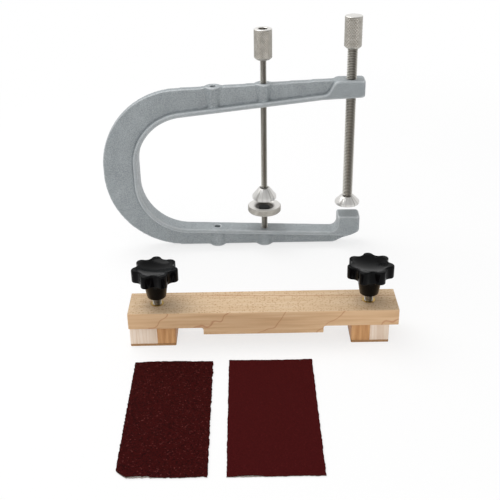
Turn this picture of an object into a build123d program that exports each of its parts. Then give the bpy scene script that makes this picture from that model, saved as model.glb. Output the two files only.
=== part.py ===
from build123d import *
import math
import os

# A guitar bridge clamp set: a deep-throat cast C-clamp with two screws, the wooden caul that the
# clamp presses on a bridge, and two abrasive sheets. Millimetres. The origin is the middle of the
# anvil's flat top, on the axis of the end screw. +Z runs up that screw, +X out of the open end of
# the throat, and -Y towards the viewer, where the caul and the sheets lie on the same floor.

# cast frame
frame_depth = 15.5
web_thickness = 6.4
flange_thickness = 4.0
jaw_height = 99.5
throat_depth = 167.3
throat_radius = 39.5
upper_slope = 6.3
lower_slope = 2.2
top_slope = 2.7
back_width = 28.2
back_radius = 65.0
anvil_left = 7.8
anvil_right = 10.3
anvil_step = 13.6
anvil_foot_radius = 5.5
arm_depth_at_anvil = 11.4
nose_slope = 27.7
nose_height = 14.4
nose_radius = 9.0
tip_left = 9.0
tip_height = 13.5
tip_sweep = 12.5
end_round = 3.0
cast_bevel = 0.8
throat_runout = 50.0
half_at_most = 0.49

# bosses and the holes through them
inner_screw_x = -67.4
spare_hole_x = -106.2
boss_root_radius = 5.1
boss_mouth_radius = 6.4
boss_stand_up = 0.5
boss_stand_down = 1.2

# how far a cut runs past the faces that it opens
past = 1.0

# screws: rod radius, the running clearance of every rod in its hole, knurled heads
end_rod_radius = 4.0
inner_rod_radius = 2.5
thread_clearance = 0.05
end_head_radius = 6.8
end_head_length = 24.0
end_head_bottom = 136.5
inner_head_radius = 7.0
inner_head_length = 23.0
inner_head_bottom = 129.0
inner_head_bore_radius = 3.6
inner_head_bore_depth = 9.0
head_round = 0.8
head_neck_chamfer = 1.6
head_socket_depth = 14.0

# swivel pads on the ball ends of the screws
end_pad_bottom = 8.8
end_pad_radius = 10.0
end_pad_mouth_radius = 5.1
end_pad_height = 7.0
end_pad_rim = 2.4
inner_pad_bottom = 14.4
inner_pad_radius = 9.7
inner_pad_mouth_radius = 4.4
inner_pad_height = 9.4
inner_pad_rim = 3.0
end_ball_radius = 2.8
inner_ball_radius = 2.0
ball_floor = 1.3
ball_clearance = 0.1
drill_half_angle = 59.0
swage_angle = 25.0
socket_mouth_share = 0.85
pad_tilt = 5.0
shoulder_gap = 0.6
washer_thickness = 0.6
washer_wall = 1.1
washer_clearance = 0.1
washer_gap = 0.1
well_clearance = 0.3
neck_share = 0.66

# height-adjustable support under the inner screw
support_top = 8.5
support_radius = 13.5
support_thickness = 5.0
support_round = 0.7
cup_mouth_radius = 9.2
cup_floor_radius = 4.7
cup_depth = 2.8
cup_pad_radius = 4.4
cup_pad_thickness = 0.8
cup_pad_gap = 0.1
stud_seat = 1.7
stud_bottom = -20.5

# caul: the bar, its inserts, knobs, studs and feet
caul_x = -71.6
caul_y = -139.5
bar_length = 182.0
bar_width = 28.6
bar_end_thickness = 11.7
bar_middle_thickness = 16.9
bar_middle_length = 81.0
bar_step_radius = 1.6
bar_round = 0.6
knob_from_end = 19.0
caul_rod_radius = 3.0
insert_radius = 4.5
insert_flange_radius = 6.5
insert_flange_thickness = 0.9
foot_inner_length = 12.5
left_foot_outer_length = 18.5
right_foot_outer_length = 13.0
foot_width = 26.0
foot_thickness = 12.5
sole_thickness = 1.6
foot_gap = 0.2
foot_round = 0.8
clip_radius = 6.0
clip_thickness = 1.0
clip_play = 0.2
groove_radius = 2.1
stud_depth_in_foot = 8.0
stud_clearance = 0.1

# star knobs
knob_lobes = 7
knob_radius = 16.0
lobe_radius = 3.4
valley_radius = 4.6
knob_rim_height = 9.0
knob_bevel = 0.9
knob_dish_reach = 12.5
knob_dish_depth = 2.0
hub_top_radius = 8.6
hub_bottom_radius = 6.4
hub_length = 13.5
hub_lift = 5.5

# abrasive sheets
sheet_gap = 9.0
sheet_y = -228.6
sheet_x = -100.0
coarse_sheet_width = 53.0
coarse_sheet_length = 113.0
fine_sheet_width = 56.0
fine_sheet_length = 113.0
sheet_corner = 7.0
backing_thickness = 0.4
grit_thickness = 0.5
grit_margin = 0.3


def tangent(degrees):
    return math.tan(math.radians(degrees))


open_end = anvil_right + throat_runout
throat_back = -throat_depth
frame_back = throat_back - back_width
frame_top = jaw_height + tip_height
arm_bottom = -anvil_step - arm_depth_at_anvil
floor_z = arm_bottom - boss_stand_down


def upper_inner_z(x):
    """Height of the throat's roof."""
    return jaw_height - max(0.0, -tip_left - x) * tangent(upper_slope)


def upper_top_z(x):
    """Height of the upper arm's back."""
    return frame_top - max(0.0, -tip_left - x) * tangent(top_slope)


def lower_inner_z(x):
    """Height of the throat's floor, which falls towards the anvil."""
    return -anvil_step + (-anvil_left - x) * tangent(lower_slope)


def upright(sketch, depth):
    """A profile in X and Z made into a solid of this depth, its middle on the plane of the screws."""
    return extrude(Plane.XZ * sketch, depth / 2, both=True)


def post(radius, low, high, x=0.0, y=0.0):
    """A plain upright cylinder between two heights."""
    return Pos(x, y, low) * Cylinder(radius, high - low, align=(Align.CENTER, Align.CENTER, Align.MIN))


def turned(points, x=0.0, y=0.0):
    """A solid of revolution about an upright axis, from (radius, height) points."""
    profile = make_face(Polyline(*points, close=True))
    return Pos(x, y, 0) * revolve(Plane.XZ * profile, Axis.Z)


def rounded_outline(points, radii):
    """A closed outline whose corners take the radii in order, 0 for a sharp corner."""
    face = make_face(Polyline(*points, close=True))
    for point, radius in zip(points, radii):
        if radius:
            corner = face.vertices().sort_by_distance((point[0], point[1], 0))[0]
            face = fillet(corner, radius)
    return face


def throat_outline():
    """The opening of the C, run out past the open end."""
    points = [
        (open_end, jaw_height),
        (-tip_left, jaw_height),
        (throat_back, upper_inner_z(throat_back)),
        (throat_back, lower_inner_z(throat_back)),
        (-anvil_left, lower_inner_z(-anvil_left)),
        (-anvil_left, 0),
        (open_end, 0),
    ]
    return rounded_outline(points, [0, 0, throat_radius, throat_radius, anvil_foot_radius, 0, 0])


def frame_outline():
    """The casting's outside, with the half-round back and the slanted nose under the anvil."""
    nose_run = (arm_bottom + nose_height) / -tangent(nose_slope)
    back_top = upper_top_z(frame_back)
    round_back = min(back_radius, half_at_most * (back_top - arm_bottom))
    points = [
        (anvil_right, frame_top),
        (-tip_left, frame_top),
        (frame_back, back_top),
        (frame_back, arm_bottom),
        (anvil_right - nose_run, arm_bottom),
        (anvil_right, -nose_height),
    ]
    return rounded_outline(points, [0, 0, round_back, round_back, nose_radius, end_round])


def tip_outline():
    """The full-depth block at the tip, whose flange sweeps up to the top in an S."""
    start_x = -tip_left - tip_sweep
    start = (start_x, upper_inner_z(start_x) + flange_thickness)
    end = (-tip_left, frame_top)
    along_flange = (math.cos(math.radians(upper_slope)), math.sin(math.radians(upper_slope)))
    sweep = Spline(start, end, tangents=(along_flange, (1, 0)))
    rest = Polyline(end, (anvil_right, frame_top), (anvil_right, jaw_height), (start_x, upper_inner_z(start_x)), start)
    return make_face(sweep + rest)


def anvil_outline():
    """The full-depth anvil, down to where the flange's lower edge runs out on the nose."""
    left = -anvil_left - 2 * anvil_foot_radius
    points = [
        (-anvil_left, 0),
        (anvil_right, 0),
        (anvil_right, lower_inner_z(anvil_right) - flange_thickness),
        (left, lower_inner_z(left) - flange_thickness),
        (left, lower_inner_z(left)),
        (-anvil_left, lower_inner_z(-anvil_left)),
    ]
    return make_face(Polyline(*points, close=True))


def boss(x, low, high, low_radius, high_radius):
    return turned([(0, low), (low_radius, low), (high_radius, high), (0, high)], x)


def lies_at(edge, distance):
    """Whether the whole edge is this far from the plane of the screws."""
    return all(abs(abs((edge @ t).Y) - distance) < 0.01 for t in (0, 0.5, 1))


def clamp_frame():
    """T-section casting: a deep web, a wider flange round the throat, and bosses for the screws."""
    outside, throat = frame_outline(), throat_outline()
    rim = ((offset(throat, flange_thickness) - throat) + tip_outline() + anvil_outline()) & outside
    body = upright(outside - throat, web_thickness) + upright(rim, frame_depth)
    ends = body.edges().filter_by(Axis.Z).filter_by_position(Axis.X, anvil_right - 0.1, anvil_right + 0.1)
    body = fillet(ends, end_round)
    body = chamfer([edge for edge in body.edges() if lies_at(edge, frame_depth / 2)], cast_bevel)
    for x in (inner_screw_x, spare_hole_x):
        roof, back = upper_inner_z(x) + flange_thickness / 2, upper_top_z(x) + boss_stand_up
        body += boss(x, roof, back, boss_root_radius, boss_mouth_radius)
        ground = lower_inner_z(x) - flange_thickness / 2
        body += boss(x, floor_z, ground, boss_mouth_radius, boss_root_radius)
    body -= post(end_rod_radius + thread_clearance, jaw_height - past, frame_top + past)
    for x in (inner_screw_x, spare_hole_x):
        hole = inner_rod_radius + thread_clearance
        body -= post(hole, upper_inner_z(x) - past, frame_top + past, x)
        body -= post(hole, floor_z - past, lower_inner_z(x) + past, x)
    return body


def ball_end(rod_radius, ball_radius, pad_bottom, pad_height, head_bottom, x):
    """A screw's rod from the head down to its shoulder, neck and ball."""
    centre = pad_bottom + ball_floor + ball_radius
    shoulder = pad_bottom + pad_height + shoulder_gap
    neck = neck_share * ball_radius
    rod = post(rod_radius, shoulder, head_bottom + head_socket_depth, x)
    return rod + post(neck, centre, shoulder, x) + Pos(x, 0, centre) * Sphere(ball_radius)


def thrust_washer(ball_radius, pad_bottom, pad_height, x):
    """The loose washer round the neck, just under the rod's shoulder."""
    bore = neck_share * ball_radius + washer_clearance
    top = pad_bottom + pad_height + shoulder_gap - washer_gap
    ring = post(bore + washer_wall, top - washer_thickness, top, x)
    return ring - post(bore, top - washer_thickness - past, top + past, x)


def swivel_pad(bottom, radius, mouth_radius, height, rim, ball_radius, x):
    """A flat-faced pad with a flared back, drilled for the ball and swaged over it."""
    top = bottom + height
    shell = turned([(0, bottom), (radius, bottom), (radius, bottom + rim), (mouth_radius, top), (0, top)], x)
    centre = bottom + ball_floor + ball_radius
    socket = ball_radius + ball_clearance
    point, swage = math.radians(drill_half_angle), math.radians(swage_angle)
    lip = socket_mouth_share * socket
    lip_rise = math.sin(swage) + (math.cos(swage) - socket_mouth_share) / math.tan(swage)
    washer_radius = neck_share * ball_radius + washer_clearance + washer_wall
    well = washer_radius + washer_clearance + well_clearance + (top - centre) * tangent(pad_tilt)
    well_drop = well * tangent(pad_tilt) + washer_clearance
    well_floor = top + shoulder_gap - washer_gap - washer_thickness - well_drop
    return shell - turned([
        (0, centre - socket / math.sin(point)),
        (socket, centre - socket / math.sin(point) + socket / math.tan(point)),
        (socket, centre + socket * math.tan(swage / 2)),
        (lip, centre + socket * lip_rise),
        (well, well_floor),
        (well, top + past),
        (0, top + past),
    ], x)


def knurled_head(radius, length, bottom, x):
    """A long knurled head, chamfered towards the rod. The knurl itself is surface finish."""
    return turned([(0, bottom), (radius - head_neck_chamfer, bottom), (radius, bottom + head_neck_chamfer),
                   (radius, bottom + length - head_round), (radius - head_round, bottom + length),
                   (0, bottom + length)], x)


def end_head():
    head = knurled_head(end_head_radius, end_head_length, end_head_bottom, 0)
    return head - post(end_rod_radius, end_head_bottom - past, end_head_bottom + head_socket_depth)


def inner_head():
    """This head is bored from the top, so its end is an open tube."""
    head = knurled_head(inner_head_radius, inner_head_length, inner_head_bottom, inner_screw_x)
    top = inner_head_bottom + inner_head_length
    head -= post(inner_rod_radius, inner_head_bottom - past, inner_head_bottom + head_socket_depth, inner_screw_x)
    return head - post(inner_head_bore_radius, top - inner_head_bore_depth, top + past, inner_screw_x)


def support_disc():
    """The knurled disc with its conical cup, screwed up and down on the lower arm."""
    low, high = support_top - support_thickness, support_top
    floor = high - cup_depth
    disc = turned([(0, low), (support_radius - support_round, low), (support_radius, low + support_round),
                   (support_radius, high - support_round), (support_radius - support_round, high),
                   (cup_mouth_radius, high), (cup_floor_radius, floor), (0, floor)], inner_screw_x)
    return disc - post(inner_rod_radius, low - past, low + stud_seat, inner_screw_x)


def support_stud():
    return post(inner_rod_radius, stud_bottom, support_top - support_thickness + stud_seat, inner_screw_x)


def support_cup_pad():
    low = support_top - cup_depth + cup_pad_gap
    return post(cup_pad_radius, low, low + cup_pad_thickness, inner_screw_x)


foot_bottom = floor_z + sole_thickness
foot_top = foot_bottom + foot_thickness
bar_bottom = foot_top + foot_gap
bar_top = bar_bottom + bar_end_thickness
knob_reach = bar_length / 2 - knob_from_end
knob_places = {"left": caul_x - knob_reach, "right": caul_x + knob_reach}


def caul_bar():
    """A flat bar, thicker in the middle where it presses on the bridge."""
    half, middle = bar_length / 2, bar_middle_length / 2
    step = bar_top - bar_middle_thickness
    points = [(-half, bar_top), (half, bar_top), (half, bar_bottom), (middle, bar_bottom),
              (middle, step), (-middle, step), (-middle, bar_bottom), (-half, bar_bottom)]
    radii = [0, 0, 0, bar_step_radius, 0, 0, bar_step_radius, 0]
    bar = Pos(caul_x, caul_y, 0) * upright(rounded_outline(points, radii), bar_width)
    long_edges = bar.edges().filter_by(Axis.X).group_by(Axis.Z)[-1]
    bar = chamfer(long_edges, bar_round)
    for x in knob_places.values():
        bar -= post(insert_radius, bar_bottom - past, bar_top + past, x, caul_y)
        bar -= post(insert_flange_radius, bar_bottom - past, bar_bottom + insert_flange_thickness, x, caul_y)
    return bar


def bar_insert(x):
    """The threaded bush in the bar, pushed in from below up to its flange."""
    bush = post(insert_radius, bar_bottom, bar_top, x, caul_y)
    bush += post(insert_flange_radius, bar_bottom, bar_bottom + insert_flange_thickness, x, caul_y)
    return bush - post(caul_rod_radius + thread_clearance, bar_bottom - past, bar_top + past, x, caul_y)


def knob_stud(x):
    """The rod from the knob through the bar, with a groove for the clip and its end in the foot."""
    low = foot_top - stud_depth_in_foot
    hub_low = bar_top + hub_lift
    rod = post(caul_rod_radius, low, hub_low + hub_length, x, caul_y)
    clip_low = foot_top - clip_thickness
    groove = post(caul_rod_radius + past, clip_low - clip_play, foot_top + clip_play, x, caul_y)
    return rod - (groove - post(groove_radius, low, bar_top, x, caul_y))


def foot_strip(x, reach):
    """One of the two glued strips of a foot, from the stud's axis as far as reach says, + to the right."""
    low, high = sorted((x, x + reach))
    block = Box(high - low, foot_width, foot_thickness, align=(Align.MIN, Align.CENTER, Align.MIN))
    block = Pos(low, caul_y, foot_bottom) * block
    corners = block.edges().filter_by(Axis.Z).group_by(Axis.X)
    block = fillet(corners[-1] if reach > 0 else corners[0], foot_round)
    hole_floor = foot_top - stud_depth_in_foot - foot_gap
    block -= post(caul_rod_radius + stud_clearance, hole_floor, foot_top + past, x, caul_y)
    return block - post(clip_radius, foot_top - clip_thickness, foot_top + past, x, caul_y)


def foot_sole(low, high):
    """The thin pad glued under both strips."""
    sole = Box(high - low, foot_width, sole_thickness, align=(Align.MIN, Align.CENTER, Align.MIN))
    return fillet((Pos(low, caul_y, floor_z) * sole).edges().filter_by(Axis.Z), foot_round)


def foot_clip(x):
    ring = post(clip_radius, foot_top - clip_thickness, foot_top, x, caul_y)
    return ring - post(groove_radius + thread_clearance, foot_top - clip_thickness - past, foot_top + past, x, caul_y)


def star_outline():
    """Round lobes and round valleys in turn, one lobe pointing away from the viewer."""
    pitch = 2 * math.pi / knob_lobes
    lobe_centre = knob_radius - lobe_radius
    gap = lobe_radius + valley_radius
    across = lobe_centre * math.sin(pitch / 2)
    valley_centre = lobe_centre * math.cos(pitch / 2) + math.sqrt(gap ** 2 - across ** 2)
    corners = []
    for k in range(knob_lobes):
        for reach, angle in ((lobe_centre, k * pitch), (valley_centre, (k + 0.5) * pitch)):
            corners.append((reach * math.sin(angle), reach * math.cos(angle)))
    star = make_face(Polyline(*corners, close=True))
    for place in corners[::2]:
        star += Pos(*place) * Circle(lobe_radius)
    for place in corners[1::2]:
        star -= Pos(*place) * Circle(valley_radius)
    return star


def star_knob(x):
    """A seven-lobe grip with a dished top on a tapered hub."""
    hub_low = bar_top + hub_lift
    rim_low = hub_low + hub_length
    rim_top = rim_low + knob_rim_height
    grip = Pos(x, caul_y, rim_low) * extrude(star_outline(), knob_rim_height)
    grip = chamfer(grip.faces().sort_by(Axis.Z)[-1].edges(), knob_bevel)
    grip -= turned([(0, rim_top - knob_dish_depth), (knob_dish_reach, rim_top), (0, rim_top)], x, caul_y)
    hub = turned([(0, hub_low), (hub_bottom_radius, hub_low), (hub_top_radius, rim_low + past), (0, rim_low + past)],
                 x, caul_y)
    return grip + hub - post(caul_rod_radius, hub_low - past, hub_low + hub_length, x, caul_y)


def abrasive_sheet(x, width, length, bottom, thickness, margin, torn):
    """One layer of a sheet that lies flat on the floor; one sheet has a corner cut off."""
    w, h = width / 2 - margin, length / 2 - margin
    cut = sheet_corner if torn else 0
    points = [(-w, h), (w, h), (w, -h), (cut - w, -h)] + ([(-w, cut - h)] if torn else [])
    sheet = extrude(make_face(Polyline(*points, close=True)), thickness)
    return Pos(x, sheet_y, bottom) * sheet


coarse_x = sheet_x - (sheet_gap + coarse_sheet_width) / 2
fine_x = sheet_x + (sheet_gap + fine_sheet_width) / 2
grit_bottom = floor_z + backing_thickness

nodes = {
    "clamp_frame": clamp_frame(),
    "end_screw": ball_end(end_rod_radius, end_ball_radius, end_pad_bottom, end_pad_height, end_head_bottom, 0),
    "end_screw_head": end_head(),
    "end_swivel_pad": swivel_pad(end_pad_bottom, end_pad_radius, end_pad_mouth_radius, end_pad_height,
                                 end_pad_rim, end_ball_radius, 0),
    "end_thrust_washer": thrust_washer(end_ball_radius, end_pad_bottom, end_pad_height, 0),
    "inner_screw": ball_end(inner_rod_radius, inner_ball_radius, inner_pad_bottom, inner_pad_height,
                            inner_head_bottom, inner_screw_x),
    "inner_screw_head": inner_head(),
    "inner_swivel_pad": swivel_pad(inner_pad_bottom, inner_pad_radius, inner_pad_mouth_radius,
                                   inner_pad_height, inner_pad_rim, inner_ball_radius, inner_screw_x),
    "inner_thrust_washer": thrust_washer(inner_ball_radius, inner_pad_bottom, inner_pad_height, inner_screw_x),
    "support_disc": support_disc(),
    "support_stud": support_stud(),
    "support_cup_pad": support_cup_pad(),
    "caul_bar": caul_bar(),
    "coarse_sheet_backing": abrasive_sheet(coarse_x, coarse_sheet_width, coarse_sheet_length, floor_z,
                                           backing_thickness, 0, True),
    "coarse_sheet_grit": abrasive_sheet(coarse_x, coarse_sheet_width, coarse_sheet_length, grit_bottom,
                                        grit_thickness, grit_margin, True),
    "fine_sheet_backing": abrasive_sheet(fine_x, fine_sheet_width, fine_sheet_length, floor_z,
                                         backing_thickness, 0, False),
    "fine_sheet_grit": abrasive_sheet(fine_x, fine_sheet_width, fine_sheet_length, grit_bottom,
                                      grit_thickness, grit_margin, False),
}
for side, outer_reach in (("left", -left_foot_outer_length), ("right", right_foot_outer_length)):
    place = knob_places[side]
    inner_reach = -math.copysign(foot_inner_length, outer_reach)
    nodes[f"{side}_knob"] = star_knob(place)
    nodes[f"{side}_knob_stud"] = knob_stud(place)
    nodes[f"{side}_bar_insert"] = bar_insert(place)
    nodes[f"{side}_foot_outer_strip"] = foot_strip(place, outer_reach)
    nodes[f"{side}_foot_inner_strip"] = foot_strip(place, inner_reach)
    nodes[f"{side}_foot_sole"] = foot_sole(*sorted((place + outer_reach, place + inner_reach)))
    nodes[f"{side}_foot_clip"] = foot_clip(place)

os.makedirs("parts", exist_ok=True)
for name, solid in nodes.items():
    export_step(solid, f"parts/{name}.step")
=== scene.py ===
import bpy
import bmesh
import math
from mathutils import Matrix, Vector, noise


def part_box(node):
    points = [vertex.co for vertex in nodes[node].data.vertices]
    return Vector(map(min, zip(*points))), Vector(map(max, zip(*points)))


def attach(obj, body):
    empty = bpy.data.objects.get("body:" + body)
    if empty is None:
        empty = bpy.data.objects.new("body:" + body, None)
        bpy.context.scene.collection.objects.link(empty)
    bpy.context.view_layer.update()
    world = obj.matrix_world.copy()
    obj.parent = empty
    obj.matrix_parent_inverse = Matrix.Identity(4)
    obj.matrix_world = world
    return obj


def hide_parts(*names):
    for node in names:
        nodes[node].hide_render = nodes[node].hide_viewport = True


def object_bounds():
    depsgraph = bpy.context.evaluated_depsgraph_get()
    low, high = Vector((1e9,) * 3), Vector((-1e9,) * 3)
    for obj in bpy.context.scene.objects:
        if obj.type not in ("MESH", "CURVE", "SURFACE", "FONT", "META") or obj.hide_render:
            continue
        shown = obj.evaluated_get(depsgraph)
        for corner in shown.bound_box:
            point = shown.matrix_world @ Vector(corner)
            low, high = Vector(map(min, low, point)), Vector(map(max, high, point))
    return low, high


# A guitar bridge clamp set: cast C-clamp with two screws, wooden caul with star knobs, two abrasive sheets.
# Metres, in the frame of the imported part: Z up the end screw, X out of the throat, -Y towards the viewer.

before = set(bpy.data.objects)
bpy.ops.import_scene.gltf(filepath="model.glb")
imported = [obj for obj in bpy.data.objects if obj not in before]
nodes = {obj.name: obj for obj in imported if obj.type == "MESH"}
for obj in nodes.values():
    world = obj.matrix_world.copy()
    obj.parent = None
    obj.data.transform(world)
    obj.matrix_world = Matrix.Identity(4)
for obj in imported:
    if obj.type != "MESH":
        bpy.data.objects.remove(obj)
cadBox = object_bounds()
mm = 0.001
near = 1e-6               # points this close are one point
print("frame loaded:", len(nodes), "nodes")


# small helpers

def linear(hexColor):
    # sRGB hex to the linear colour that Blender's sockets take
    channels = [int(hexColor[i:i + 2], 16) / 255 for i in (1, 3, 5)]
    return [c / 12.92 if c <= 0.04045 else ((c + 0.055) / 1.055) ** 2.4 for c in channels] + [1.0]


def addNode(tree, kind, settings=None, inputs=None, stops=()):
    # one node with its settings; an input is a value, an output to link, or a node, which links its first
    # output; stops are a ramp's
    node = tree.nodes.new("ShaderNode" + kind)
    for key, value in (settings or {}).items():
        setattr(node, key, value)
    for key, value in (inputs or {}).items():
        if isinstance(value, bpy.types.Node):
            value = value.outputs[0]
        if isinstance(value, bpy.types.NodeSocket):
            tree.links.new(value, node.inputs[key])
        else:
            node.inputs[key].default_value = value
    if stops:
        elements = node.color_ramp.elements
        while len(elements) < len(stops):
            elements.new(0.5)
        for element, (position, hexColor) in zip(elements, stops):
            element.position = position
            element.color = linear(hexColor)
    return node


# settings of the nodes that come back often; a colour mix has its colours on inputs 6 and 7, its result on 2
colorMix = {"data_type": "RGBA"}
numberMix = {"data_type": "FLOAT"}
multiply = {"operation": "MULTIPLY"}
multiplyAdd = {"operation": "MULTIPLY_ADD"}
absolute = {"operation": "ABSOLUTE"}
arcTangent = {"operation": "ARCTAN2"}
length = {"operation": "LENGTH"}
smoothStep = {"interpolation_type": "SMOOTHSTEP"}


def newMaterial(name):
    material = bpy.data.materials.new(name)
    material.use_nodes = True
    tree = material.node_tree
    shader = tree.nodes["Principled BSDF"]
    place = addNode(tree, "TexCoord").outputs["Object"]
    return material, tree, shader, place


def finishMaterial(tree, shader, color, values, bump=None):
    # the colour and the bump go to the shader; values are its constants
    tree.links.new(color, shader.inputs["Base Color"])
    if bump:
        tree.links.new(addNode(tree, "Bump", inputs=bump).outputs["Normal"], shader.inputs["Normal"])
    for key, value in values.items():
        shader.inputs[key].default_value = value


def partsAbout(tree, place, centre):
    # X, Y and Z of a point, measured from a centre
    centred = addNode(tree, "Mapping", inputs={"Vector": place, "Location": [-v for v in centre]})
    return addNode(tree, "SeparateXYZ", inputs={"Vector": centred}).outputs


def distanceFromAxis(tree, parts):
    flat = addNode(tree, "CombineXYZ", inputs={"X": parts["X"], "Y": parts["Y"]})
    return addNode(tree, "VectorMath", length, {0: flat}).outputs["Value"]


def newObject(name, bm):
    mesh = bpy.data.meshes.new(name)
    bm.to_mesh(mesh)
    bm.free()
    made = bpy.data.objects.new(name, mesh)
    bpy.context.scene.collection.objects.link(made)
    return made


def finishPiece(name, bm, material, body, replaced, sharp=35):
    # bmesh to an object that rides on a body and stands for the CAD nodes it replaces
    bmesh.ops.recalc_face_normals(bm, faces=bm.faces)
    piece = newObject(name, bm)
    piece.data.polygons.foreach_set("use_smooth", [True] * len(piece.data.polygons))
    piece.data.set_sharp_from_angle(angle=math.radians(sharp))
    piece.data.materials.append(material)
    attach(piece, body)
    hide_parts(*replaced)
    return piece


def paintNode(name, material):
    mesh = nodes[name].data
    mesh.materials.clear()
    mesh.materials.append(material)


def centreOf(node):
    low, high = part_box(node)
    return (low + high) / 2


def wholeMesh(bm):
    return bm.verts[:] + bm.edges[:] + bm.faces[:]


def inMetres(settings):
    # a piece's settings with its sizes, which are written as decimals, turned from mm to metres
    return {key: value * mm if isinstance(value, float) else value for key, value in settings.items()}


def lathe(bm, points, centre, segments):
    # a closed ring of (radius, height) points, or one that starts and ends on the axis, turned once round
    verts = [bm.verts.new((centre.x + r, centre.y, z)) for r, z in points]
    edges = [bm.edges.new(pair) for pair in zip(verts, verts[1:])]
    if points[0][0] > 0:
        edges.append(bm.edges.new((verts[-1], verts[0])))
    bmesh.ops.spin(bm, geom=verts + edges, cent=(centre.x, centre.y, 0), axis=(0, 0, 1),
                   angle=2 * math.pi, steps=segments, use_merge=True)
    bmesh.ops.remove_doubles(bm, verts=bm.verts, dist=near)


def arc(acrossR, height, radius, start, end, count):
    # points on an arc in the (radius, height) plane, angles in degrees
    angles = [math.radians(start + (end - start) * i / count) for i in range(count + 1)]
    return [(acrossR + radius * math.cos(a), height + radius * math.sin(a)) for a in angles]


def roundEdges(bm, width, segments):
    # every edge that turns by more than 40 degrees
    turned = [e for e in bm.edges if len(e.link_faces) == 2 and e.calc_face_angle(0) > math.radians(40)]
    bmesh.ops.bevel(bm, geom=turned, offset=width, offset_type="OFFSET", segments=segments, profile=0.5,
                    affect="EDGES", material=-1, clamp_overlap=True)


def copyNode(name):
    # a merged copy of a CAD node's mesh, its flat faces whole again
    bm = bmesh.new()
    bm.from_mesh(nodes[name].data)
    bmesh.ops.remove_doubles(bm, verts=bm.verts, dist=2 * near)
    bmesh.ops.dissolve_limit(bm, angle_limit=math.radians(0.5), verts=bm.verts, edges=bm.edges)
    return bm


# materials; the scale of a pattern is 1 / (its real size)

def paintedCasting():
    # aluminium paint over a sand casting: satin grey with a fine grain, with a painted highlight on the edges
    # and painted shade in the corners
    material, tree, shader, place = newMaterial("paintedCasting")
    grainSize, blotchSize = 0.55 * mm, 12 * mm
    grainShare, blotchShare = 0.85, 0.15
    grain = addNode(tree, "TexNoise", inputs={"Vector": place, "Scale": 1 / grainSize, "Detail": 2.0})
    blotch = addNode(tree, "TexNoise", inputs={"Vector": place, "Scale": 1 / blotchSize, "Detail": 2.0})
    fromGrain = addNode(tree, "Math", multiply, {0: grain.outputs["Fac"], 1: grainShare})
    tone = addNode(tree, "Math", multiplyAdd, {0: blotch.outputs["Fac"], 1: blotchShare, 2: fromGrain})
    base = addNode(tree, "ValToRGB", inputs={"Fac": tone},
                   stops=[(0.36, "#80868a"), (0.5, "#989fa2"), (0.64, "#b2b8bb")])
    bend = addNode(tree, "NewGeometry").outputs["Pointiness"]
    # painted highlight: convex edges turned paler
    edge = addNode(tree, "MapRange",
                   inputs={"Value": bend, "From Min": 0.515, "From Max": 0.555, "To Max": 0.85})
    # painted shade: concave corners turned darker
    corner = addNode(tree, "MapRange",
                     inputs={"Value": bend, "From Min": 0.488, "From Max": 0.445, "To Max": 0.85})
    pale = addNode(tree, "Mix", colorMix, {"Factor": edge, 6: base.outputs["Color"], 7: linear("#d6dadc")})
    dark = addNode(tree, "Mix", colorMix, {"Factor": corner, 6: pale.outputs[2], 7: linear("#565c5f")})
    finishMaterial(tree, shader, dark.outputs[2], {"Metallic": 0.15, "Roughness": 0.42},
                   {"Strength": 0.5, "Distance": 0.25 * mm, "Height": grain.outputs["Fac"]})
    return material


def turnedSteel(name, axisX):
    # bright turned steel: fine rings from the tool, and painted reflections: light and dark streaks that fan
    # out from the axis
    material, tree, shader, place = newMaterial(name)
    ringWidth = 0.25 * mm     # real rings are about 0.1 mm wide, drawn coarser so that they show
    reflectionsPerRadian = 2.4
    parts = partsAbout(tree, place, (axisX, 0, 0))
    # painted reflections: the colour swings between light and dark with the angle round the axis
    angle = addNode(tree, "Math", arcTangent, {0: parts["Y"], 1: parts["X"]})
    reflectionPlace = addNode(tree, "CombineXYZ", inputs={"X": angle})
    paintedReflections = addNode(tree, "TexNoise",
                      inputs={"Vector": reflectionPlace, "Scale": reflectionsPerRadian, "Detail": 2.0})
    base = addNode(tree, "ValToRGB", inputs={"Fac": paintedReflections.outputs["Fac"]},
                   stops=[(0.28, "#9b9892"), (0.46, "#d0cecb"), (0.56, "#dddcd9"), (0.74, "#94918a")])
    ringPlace = addNode(tree, "CombineXYZ", inputs={"X": parts["Z"]})
    rings = addNode(tree, "TexNoise", inputs={"Vector": ringPlace, "Scale": 1 / ringWidth, "Detail": 1.0})
    finishMaterial(tree, shader, base.outputs["Color"], {"Metallic": 1.0, "Roughness": 0.33},
                   {"Strength": 0.25, "Distance": 0.02 * mm, "Height": rings.outputs["Fac"]})
    return material


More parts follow.
